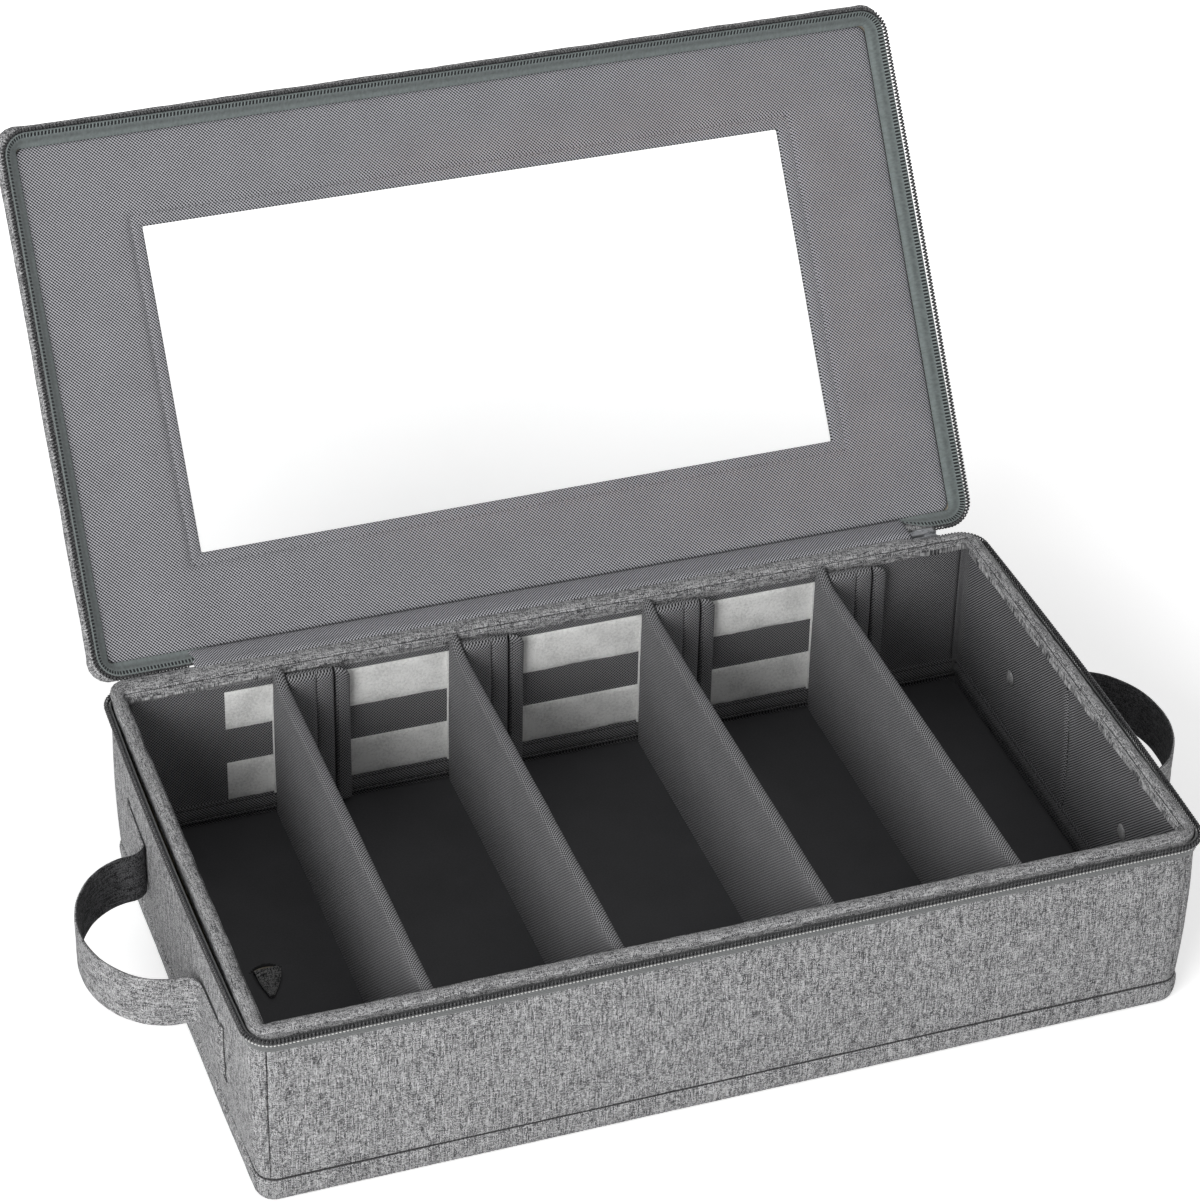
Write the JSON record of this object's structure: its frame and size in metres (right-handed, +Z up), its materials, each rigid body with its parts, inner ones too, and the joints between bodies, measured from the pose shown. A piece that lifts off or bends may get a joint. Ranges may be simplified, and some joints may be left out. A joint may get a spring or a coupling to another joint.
{
  "type": "silverware chest",
  "caption": "Zip-up cloth-covered storage box for cutlery with a windowed hinged lid, lift-out dividers, a loose floor board and a strap loop at each end.",
  "frame": {"origin": "centre of the flat underside", "axes": "+X to the right along the length, +Y to the back where the lid is hinged, +Z up"},
  "size_m": [0.4814, 0.3859, 0.2785],
  "materials": {
    "linen_cover": "grey melange linen-look cloth",
    "linen_dark": "dark grey melange cloth",
    "lining": "charcoal dimpled non-woven, foam backed",
    "lid_lining": "mid grey dimpled non-woven, foam backed",
    "insert_cloth": "near-black smooth fine cloth",
    "divider_cloth": "dark grey finely ribbed cloth",
    "greyboard": "plain greyboard",
    "zip_tape": "satin zip tape",
    "zip_coil": "black nylon coil",
    "zip_metal": "plated zinc",
    "loop_white": "off-white brushed loop strip",
    "rivet_metal": "plated steel",
    "window": "clear flexible film"
  },
  "bodies": {
    "base": {"cover_front": "linen_cover", "cover_back": "linen_cover", "cover_left": "linen_cover", "cover_right": "linen_cover", "cover_bottom": "linen_cover", "board_front": "greyboard", "board_back": "greyboard", "board_left": "greyboard", "board_right": "greyboard", "board_bottom": "greyboard", "lining_front": "lining", "lining_back": "lining", "lining_left": "lining", "lining_right": "lining", "lining_floor": "lining", "rim_binding": "linen_cover", "floor_seam_binding": "lining", "hinge_cloth": "lid_lining", "base_zip_tape": "zip_tape", "base_zip_teeth": "zip_coil", "zip_slider": "zip_metal", "loop_strips_back": "loop_white", "loop_strips_front": "loop_white", "rivets": "rivet_metal", "strap_ends_left": "linen_cover", "strap_ends_right": "linen_cover"},
    "zip_pull": {"zip_pull": "zip_metal"},
    "handle_left": {"handle_left": "linen_dark"},
    "handle_right": {"handle_right": "linen_dark"},
    "lid": {"lid_cover": "linen_cover", "lid_board": "greyboard", "lid_lining": "lid_lining", "lid_gusset": "linen_cover", "lid_gusset_back": "linen_cover", "window_film": "window", "lid_zip_tape": "zip_tape", "lid_zip_teeth": "zip_coil"},
    "floor_board": {"insert_cover": "insert_cloth", "insert_board": "greyboard", "insert_tab": "linen_dark"},
    "divider_1": {"divider_1_cover": "divider_cloth", "divider_1_board": "greyboard"},
    "divider_1_flap_back": {"divider_1_flap_back": "divider_cloth"},
    "divider_1_flap_front": {"divider_1_flap_front": "divider_cloth"},
    "divider_2": {"divider_2_cover": "divider_cloth", "divider_2_board": "greyboard"},
    "divider_2_flap_back": {"divider_2_flap_back": "divider_cloth"},
    "divider_2_flap_front": {"divider_2_flap_front": "divider_cloth"},
    "divider_3": {"divider_3_cover": "divider_cloth", "divider_3_board": "greyboard"},
    "divider_3_flap_back": {"divider_3_flap_back": "divider_cloth"},
    "divider_3_flap_front": {"divider_3_flap_front": "divider_cloth"},
    "divider_4": {"divider_4_cover": "divider_cloth", "divider_4_board": "greyboard"},
    "divider_4_flap_back": {"divider_4_flap_back": "divider_cloth"},
    "divider_4_flap_front": {"divider_4_flap_front": "divider_cloth"}
  },
  "joints": [
    {"name": "lid_hinge", "type": "hinge", "parent": "base", "child": "lid", "pos_m": [0, 0.1191, 0.0864], "axis": [-1, 0, 0], "range_deg": [-125.6, 44.4], "deforming": ["hinge_cloth"]},
    {"name": "zip_pull_swing", "type": "hinge", "parent": "base", "child": "zip_pull", "pos_m": [0.175, 0.1211, 0.0865], "axis": [-1, 0, 0], "range_deg": [-55, 0]},
    {"name": "handle_left_swing", "type": "hinge", "parent": "base", "child": "handle_left", "pos_m": [-0.21165, 0, 0.047], "axis": [0, 1, 0], "range_deg": [-40, 40]},
    {"name": "handle_right_swing", "type": "hinge", "parent": "base", "child": "handle_right", "pos_m": [0.21165, 0, 0.047], "axis": [0, -1, 0], "range_deg": [-40, 40]},
    {"name": "floor_board_lift", "type": "slide", "parent": "base", "child": "floor_board", "axis": [0, 0, 1], "range_m": [0, 0.1]},
    {"name": "divider_1_lift", "type": "slide", "parent": "floor_board", "child": "divider_1", "axis": [0, 0, 1], "range_m": [0, 0.09]},
    {"name": "divider_1_flap_back_fold", "type": "hinge", "parent": "divider_1", "child": "divider_1_flap_back", "pos_m": [-0.1232, 0.1011, 0.05], "axis": [0, 0, -1], "range_deg": [0, 88]},
    {"name": "divider_1_flap_front_fold", "type": "hinge", "parent": "divider_1", "child": "divider_1_flap_front", "pos_m": [-0.1232, -0.1011, 0.05], "axis": [0, 0, 1], "range_deg": [0, 88]},
    {"name": "divider_2_lift", "type": "slide", "parent": "floor_board", "child": "divider_2", "axis": [0, 0, 1], "range_m": [0, 0.09]},
    {"name": "divider_2_flap_back_fold", "type": "hinge", "parent": "divider_2", "child": "divider_2_flap_back", "pos_m": [-0.0452, 0.1011, 0.05], "axis": [0, 0, -1], "range_deg": [0, 88]},
    {"name": "divider_2_flap_front_fold", "type": "hinge", "parent": "divider_2", "child": "divider_2_flap_front", "pos_m": [-0.0452, -0.1011, 0.05], "axis": [0, 0, 1], "range_deg": [0, 88]},
    {"name": "divider_3_lift", "type": "slide", "parent": "floor_board", "child": "divider_3", "axis": [0, 0, 1], "range_m": [0, 0.09]},
    {"name": "divider_3_flap_back_fold", "type": "hinge", "parent": "divider_3", "child": "divider_3_flap_back", "pos_m": [0.0428, 0.1011, 0.05], "axis": [0, 0, -1], "range_deg": [0, 88]},
    {"name": "divider_3_flap_front_fold", "type": "hinge", "parent": "divider_3", "child": "divider_3_flap_front", "pos_m": [0.0428, -0.1011, 0.05], "axis": [0, 0, 1], "range_deg": [0, 88]},
    {"name": "divider_4_lift", "type": "slide", "parent": "floor_board", "child": "divider_4", "axis": [0, 0, 1], "range_m": [0, 0.09]},
    {"name": "divider_4_flap_back_fold", "type": "hinge", "parent": "divider_4", "child": "divider_4_flap_back", "pos_m": [0.1238, 0.1011, 0.05], "axis": [0, 0, -1], "range_deg": [0, 88]},
    {"name": "divider_4_flap_front_fold", "type": "hinge", "parent": "divider_4", "child": "divider_4_flap_front", "pos_m": [0.1238, -0.1011, 0.05], "axis": [0, 0, 1], "range_deg": [0, 88]}
  ]
}
